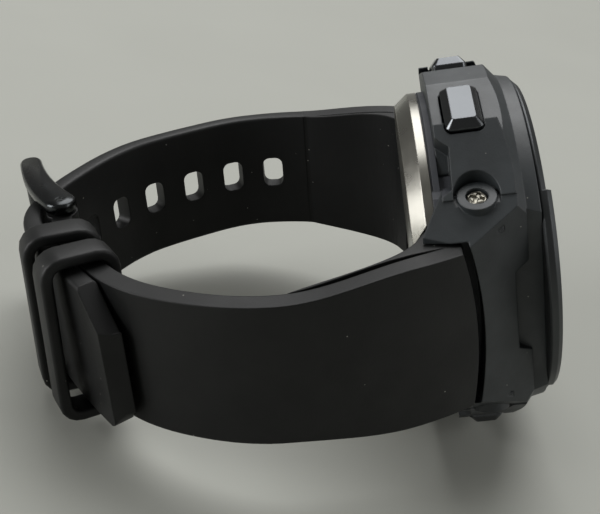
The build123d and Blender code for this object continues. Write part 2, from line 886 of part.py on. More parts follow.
frame_along = direction(buckle_angle)
frame_out = direction(buckle_angle + 90)
bar_place = (
    buckle_pin_place[0] + frame_along.X * buckle_length,
    buckle_pin_place[1] + frame_along.Y * buckle_length,
)
tongue_end = (
    bar_place[0] + frame_out.X * (buckle_bar_radius + tongue_thickness / 2 + fit),
    bar_place[1] + frame_out.Y * (buckle_bar_radius + tongue_thickness / 2 + fit),
)


def pin_plane(side):
    """Plane across a lug pin at its middle, on the 12 (1) or the 6 o'clock side (-1)."""
    return Plane(
        origin=dial.from_local_coords((0, side * pin_offset, pin_height)),
        x_dir=dial.z_dir,
        z_dir=dial.x_dir,
    )


def across(place, out_angle):
    """Plane across the strap at a place in its own plane: local x outward, local y is its height."""
    out = strap.x_dir * cos(radians(out_angle)) + strap.y_dir * sin(radians(out_angle))
    return Plane(origin=strap.from_local_coords((*place, 0)), x_dir=out, z_dir=out.cross(strap.z_dir))


def add_root(side):
    """Thick end of a strap half that turns in behind the case, on the 12 (-1) or 6 o'clock side (1)."""
    inner = route_points([], [root_blend_shares]) + route_points(root_inner_shares, [])
    inner = [(x, side * y) for x, y in inner]
    with BuildSketch(strap) as root:
        with BuildLine():
            Spline(*inner)
            Polyline(
                inner[-1],
                (-root_heel_height, side * root_side),
                (root_front, side * root_side),
                (hole_start[0][0], side * hole_start[0][1]),
                inner[0],
            )
        make_face()
    extrude(root.sketch, amount=strap_root_width / 2, both=True)


def shape_front(half_width):
    """Front view of a strap half: narrow along the wrist and wider toward the case."""
    far = -strap_reach - strap_thickness * 2
    with BuildSketch(strap_front) as outline:
        with BuildLine():
            for side in (-1, 1):
                Line((far, side * half_width), (-widening_start, side * half_width))
                Spline(
                    (-widening_start, side * half_width),
                    (-widening_end, side * strap_root_width / 2),
                    tangents=((1, 0), (1, 0)),
                )
                Line((-widening_end, side * strap_root_width / 2), (overrun, side * strap_root_width / 2))
            Line((far, -half_width), (far, half_width))
            Line((overrun, -strap_root_width / 2), (overrun, strap_root_width / 2))
        make_face()
    extrude(outline.sketch, amount=overrun, both=True, mode=Mode.INTERSECT)


def fit_to_case(side):
    """Cut a root to the case: flat beside it, arched below the hood, and bored for its pin."""
    with BuildSketch(front_plane(side)) as front:
        with BuildLine():
            Polyline(
                (lug_gap / 2, groove_side_height - groove_gap),
                (overrun, groove_side_height - groove_gap),
                (overrun, overrun),
                (-overrun, overrun),
                (-overrun, groove_side_height - groove_gap),
                (-lug_gap / 2, groove_side_height - groove_gap),
            )
            ThreePointArc(
                (-lug_gap / 2, groove_side_height - groove_gap),
                (0, groove_middle_height - groove_gap),
                (lug_gap / 2, groove_side_height - groove_gap),
            )
        make_face()
    extrude(front.sketch, amount=overrun, mode=Mode.SUBTRACT)
    with BuildSketch(pin_plane(side)) as bore:
        Circle(pin_radius + running_fit)
    extrude(bore.sketch, amount=overrun, both=True, mode=Mode.SUBTRACT)


with BuildPart() as hole_strap:
    with BuildSketch(strap):
        with BuildLine():
            hole_line = Spline(*hole_points)
        trace(line_width=strap_thickness)
    extrude(amount=strap_root_width / 2, both=True)
    add_root(1)
    shape_front(strap_width / 2)
    fit_to_case(-1)
    hole_places = []
    for number in range(hole_count):
        at_hole = first_hole + number * hole_pitch
        place = hole_line.position_at(at_hole, position_mode=PositionMode.LENGTH)
        along = hole_line.tangent_at(at_hole, position_mode=PositionMode.LENGTH)
        hole_places.append(place)
        hole_plane = Plane(
            origin=strap.from_local_coords(place),
            x_dir=strap.x_dir * along.X + strap.y_dir * along.Y,
            z_dir=strap.x_dir * along.Y - strap.y_dir * along.X,
        )
        with BuildSketch(hole_plane):
            RectangleRounded(hole_length, hole_width, hole_round)
        extrude(amount=strap_thickness, both=True, mode=Mode.SUBTRACT)
    # The hole in use is stretched by the tongue, which passes it at a slant
    with BuildSketch(strap):
        with BuildLine():
            Line(buckle_pin_place, tongue_end)
        trace(line_width=tongue_thickness + tongue_room * 2)
    extrude(amount=tongue_width / 2 + tongue_room, both=True, mode=Mode.SUBTRACT)
    # The free end: its upper corner is cut off at a slant
    tip = hole_line @ 1
    tip_along = hole_line % 1
    tip_plane = Plane(
        origin=strap.from_local_coords(tip),
        x_dir=strap.x_dir * tip_along.X + strap.y_dir * tip_along.Y,
        z_dir=strap.x_dir * tip_along.Y - strap.y_dir * tip_along.X,
    )
    with BuildSketch(tip_plane):
        with BuildLine():
            Polyline(
                (0, strap_width / 2 - tip_cut_height),
                (-tip_cut_length, strap_width / 2),
                (-tip_cut_length, strap_width),
                (strap_width, strap_width),
                (strap_width, strap_width / 2 - tip_cut_height),
                close=True,
            )
        make_face()
    extrude(amount=strap_thickness * 2, both=True, mode=Mode.SUBTRACT)

with BuildPart() as buckle_strap:
    with BuildSketch(strap):
        with BuildLine():
            Spline(*buckle_points)
        trace(line_width=strap_thickness)
        with Locations(buckle_pin_place):
            Circle(pin_end_radius)
    extrude(amount=strap_root_width / 2, both=True)
    add_root(-1)
    shape_front(strap_width / 2)
    fit_to_case(1)
    with BuildSketch(strap):
        with Locations(buckle_pin_place):
            Circle(pin_radius + running_fit)
    extrude(amount=overrun, both=True, mode=Mode.SUBTRACT)
    with BuildSketch(strap):
        with Locations(buckle_pin_place):
            Circle(pin_end_radius * 2)
    extrude(amount=tongue_slot / 2, both=True, mode=Mode.SUBTRACT)

print("holes", [(round(place.X, 1), round(place.Y, 1)) for place in hole_places])

# Buckle: two arms and a bar, hinged on a pin through the strap's end, and the tongue
with BuildPart() as buckle_frame:
    with BuildSketch(strap):
        with Locations(buckle_pin_place):
            Circle(buckle_arm_radius)
        with Locations(bar_place):
            Circle(buckle_arm_end)
        make_hull()
    extrude(amount=buckle_width / 2, both=True)
    with BuildSketch(strap):
        with Locations(buckle_pin_place):
            Circle(overrun)
        with Locations(bar_place):
            Circle(buckle_bar_radius, mode=Mode.SUBTRACT)
    extrude(amount=buckle_width / 2 - buckle_arm, both=True, mode=Mode.SUBTRACT)
    with BuildSketch(strap):
        with Locations(buckle_pin_place):
            Circle(pin_tip_radius + running_fit)
    extrude(amount=overrun, both=True, mode=Mode.SUBTRACT)

with BuildPart() as buckle_tongue:
    with BuildSketch(strap):
        with BuildLine():
            Line(buckle_pin_place, tongue_end)
        trace(line_width=tongue_thickness)
        with Locations(buckle_pin_place):
            Circle(tongue_eye)
            Circle(pin_radius + running_fit, mode=Mode.SUBTRACT)
    extrude(amount=tongue_width / 2, both=True)

with BuildPart() as buckle_pin:
    with BuildSketch(strap):
        with Locations(buckle_pin_place):
            Circle(pin_radius)
    extrude(amount=buckle_width / 2 - buckle_arm - fit, both=True)
    with BuildSketch(strap):
        with Locations(buckle_pin_place):
            Circle(pin_tip_radius)
    extrude(amount=buckle_width / 2, both=True)

# Keepers: two resin loops around both layers of the strap
keeper_round = 2.5
keeper_inner_round = 1.0
keeper_nodes = {}

for name, (place, angle) in keeper_places.items():
    with BuildPart() as keeper:
        with BuildSketch(across(place, angle).offset(-keeper_width / 2)):
            RectangleRounded(keeper_depth, keeper_height, keeper_round)
            RectangleRounded(
                keeper_depth - keeper_wall * 2,
                keeper_height - keeper_wall * 2,
                keeper_inner_round,
                mode=Mode.SUBTRACT,
            )
        extrude(amount=keeper_width)
    keeper_nodes[name] = keeper

pieces = {
    "case_back": case_back,
    "back_screws": back_screws,
    "back_gasket": back_gasket,
    "case_body": case_body,
    "bezel": bezel,
    "bezel_screws": bezel_screws,
    "front_ring": front_ring,
    "glass": glass,
    "glass_gasket": glass_gasket,
    "dial_surround": dial_surround,
    "lcd_panel": lcd_panel,
    "backlight_panel": backlight_panel,
    "zebra_connectors": zebra_connectors,
    "module_frame": module_frame,
    "circuit_board": circuit_board,
    "controller_chip": controller_chip,
    "quartz_crystal": quartz_crystal,
    "battery": battery,
    "battery_clip": battery_clip,
    "buzzer_disc": buzzer_disc,
    "buzzer_spring": buzzer_spring,
    **button_nodes,
    **clip_nodes,
    **spring_nodes,
    "button_seals": button_seals,
    "lug_pins": lug_pins,
    "hole_strap": hole_strap,
    "buckle_strap": buckle_strap,
    "buckle_frame": buckle_frame,
    "buckle_tongue": buckle_tongue,
    "buckle_pin": buckle_pin,
    **keeper_nodes,
}
for name, piece in pieces.items():
    piece.part.label = name
    export_step(piece.part, f"parts/{name}.step")
    print(name, len(piece.part.solids()), round(piece.part.volume, 1))
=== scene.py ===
"""Looks of the digital sports watch: each section dresses one piece, in the order of assembly."""
import json
from math import cos, pi, radians, sin

import bmesh
import bpy
from mathutils import Matrix, Vector


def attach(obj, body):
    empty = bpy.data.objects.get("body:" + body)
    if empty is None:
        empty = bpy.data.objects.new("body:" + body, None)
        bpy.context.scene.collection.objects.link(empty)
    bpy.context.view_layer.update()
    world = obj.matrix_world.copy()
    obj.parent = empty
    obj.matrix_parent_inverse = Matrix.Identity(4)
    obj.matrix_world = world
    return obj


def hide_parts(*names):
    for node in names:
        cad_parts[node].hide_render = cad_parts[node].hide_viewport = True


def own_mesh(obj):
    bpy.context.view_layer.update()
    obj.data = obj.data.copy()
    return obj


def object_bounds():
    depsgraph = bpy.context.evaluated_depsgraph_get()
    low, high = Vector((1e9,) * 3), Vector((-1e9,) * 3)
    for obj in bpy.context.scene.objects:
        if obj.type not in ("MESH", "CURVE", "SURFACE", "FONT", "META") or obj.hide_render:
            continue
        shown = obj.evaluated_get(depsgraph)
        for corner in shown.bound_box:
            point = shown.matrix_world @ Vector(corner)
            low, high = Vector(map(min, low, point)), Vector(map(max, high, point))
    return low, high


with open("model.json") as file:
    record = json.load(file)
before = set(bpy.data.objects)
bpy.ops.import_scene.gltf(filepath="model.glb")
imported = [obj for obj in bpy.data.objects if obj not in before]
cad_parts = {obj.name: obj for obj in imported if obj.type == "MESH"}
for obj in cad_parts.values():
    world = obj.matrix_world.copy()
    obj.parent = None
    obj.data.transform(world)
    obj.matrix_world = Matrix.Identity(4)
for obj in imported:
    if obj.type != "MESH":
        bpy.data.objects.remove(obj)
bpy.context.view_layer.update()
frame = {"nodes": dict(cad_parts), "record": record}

nodes = frame["nodes"]

# The inner case: glass-filled resin, injection moulded, with a dry grey skin. It carries the
# module, the lug pins and the button bores, and shows as a rough strip between steel and bezel.


def linear(code):
    """Linear colour of an sRGB hex code."""
    parts = [int(code[i:i + 2], 16) / 255 for i in (0, 2, 4)]
    return (*(p / 12.92 if p <= 0.04045 else ((p + 0.055) / 1.055) ** 2.4 for p in parts), 1.0)


def add(tree, kind, feeds=None, **settings):
    """Adds a node with its settings; feeds gives each input a value or another node's socket."""
    made = tree.nodes.new(kind)
    for name, value in settings.items():
        setattr(made, name, value)
    for name, value in (feeds or {}).items():
        if isinstance(value, bpy.types.NodeSocket):
            tree.links.new(value, made.inputs[name])
        else:
            made.inputs[name].default_value = value
    return made


def start_material(name):
    """A new material with its shader and with the piece's own place in millimetres."""
    material = bpy.data.materials.new(name)
    material.use_nodes = True
    tree = material.node_tree
    tree.nodes.clear()
    shader = add(tree, "ShaderNodeBsdfPrincipled")
    add(tree, "ShaderNodeOutputMaterial", {"Surface": shader.outputs["BSDF"]})
    place = add(tree, "ShaderNodeTexCoord").outputs["Object"]
    millimetres = add(tree, "ShaderNodeVectorMath", {0: place, "Scale": 1000.0}, operation="SCALE")
    return material, tree, shader, millimetres.outputs["Vector"]


def resin(name, shade, worn_shade, roughness, grain, depth, dust=0.0, sheen=0.5, rounding=0.15):
    """Moulded resin: a fine spark-eroded grain, a slow drift of sheen from handling, and dust."""
    material, tree, shader, place = start_material(name)
    skin = add(tree, "ShaderNodeTexNoise", {"Vector": place, "Scale": 1 / grain, "Detail": 3.0,
                                            "Roughness": 0.6})
    drift = add(tree, "ShaderNodeTexNoise", {"Vector": place, "Scale": 0.13, "Detail": 4.0,
                                             "Roughness": 0.55})
    rubbed = add(tree, "ShaderNodeMapRange", {"Value": drift.outputs["Fac"], "From Min": 0.4,
                                              "From Max": 0.68})
    # A Mix node's colours are its sockets 6 and 7, and its colour result is output 2
    body = add(tree, "ShaderNodeMix", {0: rubbed.outputs["Result"], 6: linear(shade),
                                       7: linear(worn_shade)}, data_type="RGBA")
    gloss = add(tree, "ShaderNodeMapRange", {"Value": drift.outputs["Fac"], "From Min": 0.3,
                                             "From Max": 0.7, "To Min": roughness + 0.05,
                                             "To Max": roughness - 0.05})
    edge = add(tree, "ShaderNodeBevel", {"Radius": rounding / 1000}, samples=6)
    relief = add(tree, "ShaderNodeBump", {"Height": skin.outputs["Fac"], "Strength": 0.5,
                                          "Distance": depth / 1000,
                                          "Normal": edge.outputs["Normal"]})
    tree.links.new(relief.outputs["Normal"], shader.inputs["Normal"])
    colour, rough = body.outputs[2], gloss.outputs["Result"]
    if dust:
        cells = add(tree, "ShaderNodeTexVoronoi", {"Vector": place, "Scale": 0.55,
                                                   "Randomness": 1.0})
        near = add(tree, "ShaderNodeMath", {0: cells.outputs["Distance"], 1: 0.05},
                   operation="LESS_THAN")
        pick = add(tree, "ShaderNodeSeparateColor", {"Color": cells.outputs["Color"]})
        kept = add(tree, "ShaderNodeMath", {0: pick.outputs["Red"], 1: dust},
                   operation="LESS_THAN")
        speck = add(tree, "ShaderNodeMath", {0: near.outputs["Value"], 1: kept.outputs["Value"]},
                    operation="MULTIPLY")
        dusted = add(tree, "ShaderNodeMix", {0: speck.outputs["Value"], 6: colour,
                                             7: linear("8F8E88")}, data_type="RGBA")
        dull = add(tree, "ShaderNodeMath", {0: speck.outputs["Value"], 1: 0.4, 2: rough},
                   operation="MULTIPLY_ADD")
        colour, rough = dusted.outputs[2], dull.outputs["Value"]
    tree.links.new(colour, shader.inputs["Base Color"])
    tree.links.new(rough, shader.inputs["Roughness"])
    shader.inputs["Specular IOR Level"].default_value = sheen
    return material


def dress(material, *names):
    """Gives CAD pieces their material."""
    for name in names:
        mesh = nodes[name].data
        mesh.materials.clear()
        mesh.materials.append(material)


# Glass-filled nylon: dull grey, grain 0.25 mm
dress(resin("glass_filled_nylon", "33353A", "45474A", 0.62, 0.25, 0.03, dust=0.3), "case_body")

# The case back: a turned disc of stainless steel with a bevelled rim and a polished band. Four
# small countersunk screws of the same steel hold it, over a black rubber seal.

dial_out = -Vector(frame["record"]["mounts"][0]["axis"]).normalized()
three = dial_out.cross(Vector((0, 1, 0))).normalized()
if three.z < 0:
    three.negate()
twelve = Vector((0, -1, 0))
to_dial = dial_out.rotation_difference(Vector((0, 0, 1))).to_euler()


def on_dial(a, b, h):
    """Place from millimetres toward 3 o'clock, toward 12 o'clock and up from the case back."""
    return (three * a + twelve * b + dial_out * h) / 1000


def metal(name, shade, roughness, line, depth, turned=False, smudge=0.05, rounding=0.1):
    """Metal with fine lines: round the dial's axis where turned, else along the piece."""
    material, tree, shader, place = start_material(name)
    turn = add(tree, "ShaderNodeMapping", {"Vector": place, "Rotation": to_dial})
    parts = add(tree, "ShaderNodeSeparateXYZ", {"Vector": turn.outputs["Vector"]})
    if turned:
        flat = add(tree, "ShaderNodeCombineXYZ", {"X": parts.outputs["X"],
                                                  "Y": parts.outputs["Y"]})
        radius = add(tree, "ShaderNodeVectorMath", {0: flat.outputs["Vector"]},
                     operation="LENGTH")
        cut = add(tree, "ShaderNodeCombineXYZ", {"X": radius.outputs["Value"],
                                                 "Z": parts.outputs["Z"]})
    else:
        cut = add(tree, "ShaderNodeMapping", {"Vector": turn.outputs["Vector"],
                                              "Scale": (1.0, 0.08, 1.0)})
    lines = add(tree, "ShaderNodeTexNoise", {"Vector": cut.outputs["Vector"], "Scale": 1 / line,
                                             "Detail": 4.0, "Roughness": 0.7})
    cloud = add(tree, "ShaderNodeTexNoise", {"Vector": place, "Scale": 0.25, "Detail": 3.0})
    gloss = add(tree, "ShaderNodeMapRange", {"Value": cloud.outputs["Fac"], "From Min": 0.3,
                                             "From Max": 0.7, "To Min": roughness - smudge,
                                             "To Max": roughness + smudge})
    edge = add(tree, "ShaderNodeBevel", {"Radius": rounding / 1000}, samples=6)
    relief = add(tree, "ShaderNodeBump", {"Height": lines.outputs["Fac"], "Strength": 0.4,
                                          "Distance": depth / 1000,
                                          "Normal": edge.outputs["Normal"]})
    shader.inputs["Base Color"].default_value = linear(shade)
    shader.inputs["Metallic"].default_value = 1.0
    tree.links.new(gloss.outputs["Result"], shader.inputs["Roughness"])
    tree.links.new(relief.outputs["Normal"], shader.inputs["Normal"])
    return material


def piece_of(bm, name):
    """Ends a mesh in the making as an object of its own, its faces outwards."""
    bmesh.ops.recalc_face_normals(bm, faces=bm.faces)
    mesh = bpy.data.meshes.new(name)
    bm.to_mesh(mesh)
    bm.free()
    piece = bpy.data.objects.new(name, mesh)
    bpy.context.scene.collection.objects.link(piece)
    return piece


def settle(piece):
    """Turns what a piece's modifiers make into its own plain mesh."""
    bpy.context.view_layer.update()
    ready = piece.evaluated_get(bpy.context.evaluated_depsgraph_get())
    done = bpy.data.meshes.new_from_object(ready)
    piece.modifiers.clear()
    piece.data = done


def start_group(name, wanted):
    """A Geometry Nodes tree with a named input for each wanted kind and value."""
    group = bpy.data.node_groups.new(name, "GeometryNodeTree")
    for way in ("INPUT", "OUTPUT"):
        group.interface.new_socket("Geometry", in_out=way, socket_type="NodeSocketGeometry")
    sockets = {key: group.interface.new_socket(key, in_out="INPUT", socket_type=kind)
               for key, (kind, _) in wanted.items()}
    return group, sockets, add(group, "NodeGroupInput").outputs


def run_group(piece, group, sockets, wanted, placed, material):
    """Ends a tree with its real, coated copies and settles it on a piece."""
    real = add(group, "GeometryNodeRealizeInstances", {"Geometry": placed.outputs["Instances"]})
    coated = add(group, "GeometryNodeSetMaterial", {"Geometry": real.outputs["Geometry"],
                                                    "Material": material})
    add(group, "NodeGroupOutput", {"Geometry": coated.outputs["Geometry"]})
    modifier = piece.modifiers.new(group.name, "NODES")
    modifier.node_group = group
    for key, (_, value) in wanted.items():
        modifier[sockets[key].identifier] = value
    settle(piece)


def screws(name, stands, replaced, body, head, height, cross, material):
    """Cross-head screws, one at each stand of place and direction, each stopped at its own turn."""
    bm = bmesh.new()
    outline = [(0.0, height), (head * 0.55, height * 0.97), (head * 0.85, height * 0.8),
               (head, height * 0.45), (head, 0.0), (head * 0.6, 0.0), (head * 0.6, -head * 2.5),
               (0.0, -head * 2.5)]
    line = [bm.verts.new((r / 1000, 0, z / 1000)) for r, z in outline]
    edges = [bm.edges.new(pair) for pair in zip(line, line[1:])]
    bmesh.ops.spin(bm, geom=line + edges, cent=(0, 0, 0), axis=(0, 0, 1), angle=2 * pi, steps=40)
    bmesh.ops.remove_doubles(bm, verts=bm.verts, dist=1e-6)
    blank = piece_of(bm, name + "_blank")
    for face in blank.data.polygons:
        face.use_smooth = True
    points = bpy.data.meshes.new(name)
    points.from_pydata([place for place, _ in stands], [], [])
    axes = points.attributes.new("axis", "FLOAT_VECTOR", "POINT")
    axes.data.foreach_set("vector", [part for _, axis in stands for part in axis])
    fastener = bpy.data.objects.new(name, points)
    bpy.context.scene.collection.objects.link(fastener)
    slot_length, slot_width, slot_depth = cross
    wanted = {
        "Blank": ("NodeSocketObject", blank),
        "Slot length": ("NodeSocketFloat", slot_length / 1000),
        "Slot width": ("NodeSocketFloat", slot_width / 1000),
        "Slot depth": ("NodeSocketFloat", slot_depth / 1000),
        "Head height": ("NodeSocketFloat", height / 1000),
        "Material": ("NodeSocketMaterial", material),
    }
    group, sockets, given = start_group(name, wanted)
    shape = add(group, "GeometryNodeObjectInfo", {"Object": given["Blank"]})
    slots = add(group, "GeometryNodeMeshBoolean", operation="UNION")
    for x, y in (("Slot length", "Slot width"), ("Slot width", "Slot length")):
        size = add(group, "ShaderNodeCombineXYZ", {"X": given[x], "Y": given[y],
                                                   "Z": given["Slot depth"]})
        bar = add(group, "GeometryNodeMeshCube", {"Size": size.outputs["Vector"]})
        lift = add(group, "ShaderNodeCombineXYZ", {"Z": given["Head height"]})
        arm = add(group, "GeometryNodeTransform", {"Geometry": bar.outputs["Mesh"],
                                                   "Translation": lift.outputs["Vector"]})
        group.links.new(arm.outputs["Geometry"], slots.inputs["Mesh 2"])
    cut = add(group, "GeometryNodeMeshBoolean", {"Mesh 1": shape.outputs["Geometry"]},
              operation="DIFFERENCE")
    group.links.new(slots.outputs["Mesh"], cut.inputs["Mesh 2"])
    way = add(group, "GeometryNodeInputNamedAttribute", {"Name": "axis"},
              data_type="FLOAT_VECTOR")
    aim = add(group, "FunctionNodeAlignRotationToVector", {"Vector": way.outputs["Attribute"]},
              axis="Z")
    # The float range of a Random Value node ends at its socket 3, here a quarter turn
    stop = add(group, "FunctionNodeRandomValue", {"Seed": 7, 3: 1.57}, data_type="FLOAT")
    about = add(group, "ShaderNodeCombineXYZ", {"Z": stop.outputs[1]})
    spun = add(group, "FunctionNodeEulerToRotation", {"Euler": about.outputs["Vector"]})
    both = add(group, "FunctionNodeRotateRotation", {"Rotation": aim.outputs["Rotation"],
                                                     "Rotate By": spun.outputs["Rotation"]},
               rotation_space="LOCAL")
    placed = add(group, "GeometryNodeInstanceOnPoints", {"Points": given["Geometry"],
                                                        "Instance": cut.outputs["Mesh"],
                                                        "Rotation": both.outputs["Rotation"]})
    run_group(fastener, group, sockets, wanted, placed, given["Material"])
    bpy.data.objects.remove(blank)
    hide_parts(replaced)
    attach(fastener, body)


# Stainless steel, fine turned: grey metal, its rings drawn 0.25 mm apart, wider than real, to show
steel_turned = metal("stainless_steel_turned", "96948D", 0.3, 0.25, 0.012, turned=True, rounding=0.2)
dress(steel_turned, "case_back")
# Stainless steel, polished by a tumbling barrel: bright, with faint wear lines 0.3 mm apart
steel_bright = metal("stainless_steel_bright", "C4C2BB", 0.2, 0.3, 0.01)
back_screw_circle = 19.4
back_screw_sink = 0.12
back_stands = []
for quarter in range(4):
    spot = radians(45 + 90 * quarter)
    back_stands.append((on_dial(back_screw_circle * cos(spot), back_screw_circle * sin(spot),
                                back_screw_sink), -dial_out))
screws("back_screw_heads", back_stands, "back_screws", "case", head=1.15, height=0.1,
       cross=(1.3, 0.28, 0.5), material=steel_bright)

# The seals: a ring under the back, a ring round the glass, an O-ring on each button stem and two
# strips that join display and board. All are black rubber, cut or moulded, and lightly greased.

# Nitrile rubber: deep black with a soft sheen, grain 0.4 mm
rubber = resin("nitrile_rubber", "0D0E0E", "151616", 0.45, 0.4, 0.02)
dress(rubber, "back_gasket", "glass_gasket", "button_seals", "zebra_connectors")

# The module: a frame of white moulded plastic that holds board, cell and display together. Its
# small parts are soldered or clipped in before it drops into the case.

# Acetal: waxy off-white plastic, grain 0.5 mm
dress(resin("acetal_frame", "B8B5A8", "C4C2B8", 0.4, 0.5, 0.01), "module_frame")
# Glass epoxy board: green lacquer over the weave, 0.6 mm
dress(resin("glass_epoxy_board", "1E4A33", "27583E", 0.35, 0.6, 0.02), "circuit_board")
# Epoxy chip body: charcoal, matt, grain 0.15 mm
dress(resin("moulded_epoxy", "1B1C1D", "242526", 0.6, 0.15, 0.02), "controller_chip")
dress(steel_bright, "quartz_crystal", "battery_clip", "battery")
# Brass sheet: warm yellow metal with drawn lines 0.3 mm apart
dress(metal("brass_sheet", "B08D4C", 0.3, 0.3, 0.01), "buzzer_disc")
# Spring wire: drawn stainless steel, lines 0.1 mm apart
spring_wire = metal("stainless_spring_wire", "A9A8A4", 0.28, 0.1, 0.005)
dress(spring_wire, "buzzer_spring")

# The display: two glass plates with liquid crystal between polarising films, in front of a light
# sheet. Its figures are etched electrodes; a printed ring with minute marks covers its edges.

# Reflective display film: grey green, faintly pearly, grain 0.3 mm
dress(resin("display_film", "8F9788", "979E90", 0.35, 0.3, 0.004), "lcd_panel")
# Light sheet: milky green plastic film, grain 0.4 mm
dress(resin("light_sheet", "9DB7A8", "A6BFB1", 0.5, 0.4, 0.004), "backlight_panel")
# Printed polycarbonate: dark grey lacquer, slightly pearly, grain 0.2 mm
dress(resin("printed_surround", "2A2C2F", "303236", 0.42, 0.2, 0.008), "dial_surround")

figure_levels = (13.5, 13.54)
figure_segments = {
    "0": "abcdef", "1": "bc", "2": "abged", "3": "abgcd", "4": "fgbc", "5": "afgcd",
    "6": "afgedc", "7": "abc", "8": "abcdefg", "9": "abfgcd",
}


def skin(bm, rings):
    """Walls between each ring of points and the next."""
    for first, second in zip(rings, rings[1:]):
        for i in range(len(first)):
            k = (i + 1) % len(first)
            bm.faces.new((first[i], first[k], second[k], second[i]))


def prism(bm, ends):
    """A closed block between two like outlines."""
    bm.faces.new(ends[0])
    bm.faces.new(ends[1])
    skin(bm, ends)


def figure(bm, sign, left, base, width, height, stroke):
    """Draws one seven-segment figure as thin bars with pointed ends, just above the display."""
    half, gap = height / 2, stroke * 0.12
    bars = {
        "a": ((0, height), (width, height)), "g": ((0, half), (width, half)),
        "d": ((0, 0), (width, 0)), "f": ((0, half), (0, height)),
        "b": ((width, half), (width, height)), "e": ((0, 0), (0, half)),
        "c": ((width, 0), (width, half)),
    }
    for name in figure_segments[sign]:
        start, end = (Vector(corner) for corner in bars[name])
        along = (end - start).normalized()
        side = Vector((-along.y, along.x)) * stroke / 2
        start, end = start + along * gap, end - along * gap
        ring = [start, start + along * stroke / 2 + side, end - along * stroke / 2 + side,
                end, end - along * stroke / 2 - side, start + along * stroke / 2 - side]
        prism(bm, [[bm.verts.new(on_dial(left + p.x, base + p.y, level)) for p in ring]
                   for level in figure_levels])


bm = bmesh.new()
for text, left, base, width, height, stroke, step in (
    ("10", -8.6, -3.3, 2.4, 5.2, 0.62, 3.5),
    ("08", -0.9, -3.3, 2.4, 5.2, 0.62, 3.5),
    ("36", 6.1, -3.3, 1.3, 2.9, 0.4, 2.0),
    ("11", -8.4, 3.6, 1.0, 1.9, 0.3, 1.6),
    ("28", -4.4, 3.6, 1.0, 1.9, 0.3, 1.6),
):
    for place, sign in enumerate(text):
        figure(bm, sign, left + place * step, base, width, height, stroke)
# The two dots between hours and minutes
dots_place, dot_half_width, dot_half_height = -1.95, 0.26, 0.3
for height in (-1.8, 0.3):
    prism(bm, [[bm.verts.new(on_dial(dots_place + x * dot_half_width,
                                     height + y * dot_half_height, level))
                for x, y in ((-1, -1), (1, -1), (1, 1), (-1, 1))] for level in figure_levels])
display_figures = piece_of(bm, "display_figures")
# Switched liquid crystal: near-black seen through the polariser, grain 0.3 mm
display_figures.data.materials.append(
    resin("switched_crystal", "16191A", "1D2121", 0.4, 0.3, 0.002))
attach(display_figures, "case")

# Minute marks: sixty bars of pale ink pad-printed on the surround, every fifth one longer
marks_level = 15.4
marks = bpy.data.objects.new("minute_marks", bpy.data.meshes.new("minute_marks"))
bpy.context.scene.collection.objects.link(marks)
# Pad-printing ink: pale grey, flat, grain 0.2 mm
mark_ink = resin("pad_print_ink", "D4D5D1", "DCDDD9", 0.55, 0.2, 0.004)
wanted = {
    "Count": ("NodeSocketInt", 60),
    "Radius": ("NodeSocketFloat", 0.0146),
    "Length": ("NodeSocketFloat", 0.0009),
    "Long length": ("NodeSocketFloat", 0.0016),
    "Width": ("NodeSocketFloat", 0.00022),
    "Ink": ("NodeSocketFloat", 0.00003),
    "Material": ("NodeSocketMaterial", mark_ink),
}
group, sockets, given = start_group("minute_marks", wanted)
circle = add(group, "GeometryNodeMeshCircle", {"Vertices": given["Count"],
                                               "Radius": given["Radius"]})
index = add(group, "GeometryNodeInputIndex")
fifth = add(group, "ShaderNodeMath", {0: index.outputs["Index"], 1: 5.0}, operation="MODULO")
is_fifth = add(group, "ShaderNodeMath", {0: fifth.outputs["Value"], 1: 0.5},
               operation="LESS_THAN")
extra = add(group, "ShaderNodeMath", {0: given["Long length"], 1: given["Length"]},
            operation="SUBTRACT")
length = add(group, "ShaderNodeMath", {0: is_fifth.outputs["Value"], 1: extra.outputs["Value"],
                                       2: given["Length"]}, operation="MULTIPLY_ADD")
size = add(group, "ShaderNodeCombineXYZ", {"X": length.outputs["Value"], "Y": given["Width"],
                                           "Z": given["Ink"]})
unit = add(group, "GeometryNodeMeshCube", {"Size": (1.0, 1.0, 1.0)})
inward = add(group, "GeometryNodeTransform", {"Geometry": unit.outputs["Mesh"],
                                              "Translation": (-0.5, 0.0, 0.5)})
step = add(group, "ShaderNodeMath", {0: 2 * pi, 1: given["Count"]}, operation="DIVIDE")
turn = add(group, "ShaderNodeMath", {0: index.outputs["Index"], 1: step.outputs["Value"]},
           operation="MULTIPLY")
about = add(group, "ShaderNodeCombineXYZ", {"Z": turn.outputs["Value"]})
spun = add(group, "FunctionNodeEulerToRotation", {"Euler": about.outputs["Vector"]})
placed = add(group, "GeometryNodeInstanceOnPoints", {"Points": circle.outputs["Mesh"],
                                                    "Instance": inward.outputs["Geometry"],
                                                    "Rotation": spun.outputs["Rotation"],
                                                    "Scale": size.outputs["Vector"]})
run_group(marks, group, sockets, wanted, placed, given["Material"])
upright = Matrix((three, twelve, dial_out)).transposed().to_4x4()
marks.data.transform(Matrix.Translation(on_dial(0, 0, marks_level)) @ upright)
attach(marks, "case")

# The watch glass: a flat disc of mineral glass over the dial. It is cut, ground and polished on
# both faces, and pressed into its rubber seal; thumbs leave a thin smear on it.

